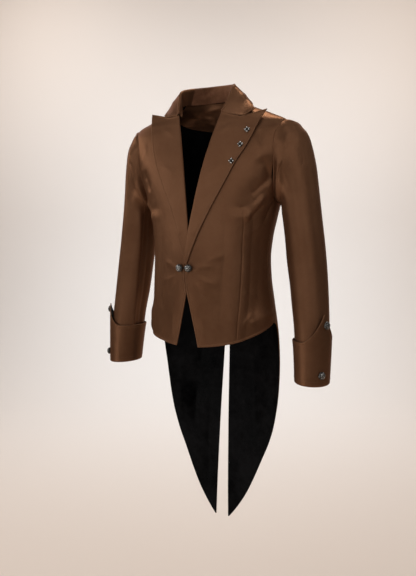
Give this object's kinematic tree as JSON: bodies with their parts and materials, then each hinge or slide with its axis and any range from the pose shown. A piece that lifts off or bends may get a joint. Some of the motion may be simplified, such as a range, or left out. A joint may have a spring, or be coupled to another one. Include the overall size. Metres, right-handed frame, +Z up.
{
  "type": "tailcoat",
  "caption": "Hollow men's tailcoat as worn, linked at the waist, with peaked lapels, a turned-down collar, long split tails and pointed turned-back cuffs.",
  "frame": {"origin": "midway between the two neck points, on the line over the shoulders on which the coat hangs when it is worn", "axes": "+Z up, -Y to the front of the wearer, +X to the wearer's left"},
  "size_m": [0.6545, 0.2537, 1.1771],
  "materials": {
    "brown_cloth": "closely woven cloth with a low sheen",
    "black_lining": "smooth satin lining",
    "antique_silver": "darkened silver-coloured metal"
  },
  "bodies": {
    "root": {"front_left": "brown_cloth", "front_right": "brown_cloth", "back_left": "brown_cloth", "back_right": "brown_cloth", "lapel_left": "brown_cloth", "lapel_right": "brown_cloth", "collar_leaf": "brown_cloth", "collar_stand": "brown_cloth", "neck_facing": "brown_cloth", "top_sleeve_left": "brown_cloth", "top_sleeve_right": "brown_cloth", "under_sleeve_left": "brown_cloth", "under_sleeve_right": "brown_cloth", "cuff_left": "brown_cloth", "cuff_right": "brown_cloth", "lining_left": "black_lining", "lining_right": "black_lining", "link_bar": "antique_silver", "link_button_left": "antique_silver", "link_button_right": "antique_silver", "cuff_button_upper_left": "antique_silver", "cuff_button_upper_right": "antique_silver", "cuff_button_lower_left": "antique_silver", "cuff_button_lower_right": "antique_silver", "lapel_stud_1": "antique_silver", "lapel_stud_2": "antique_silver", "lapel_stud_3": "antique_silver"}
  },
  "joints": []
}
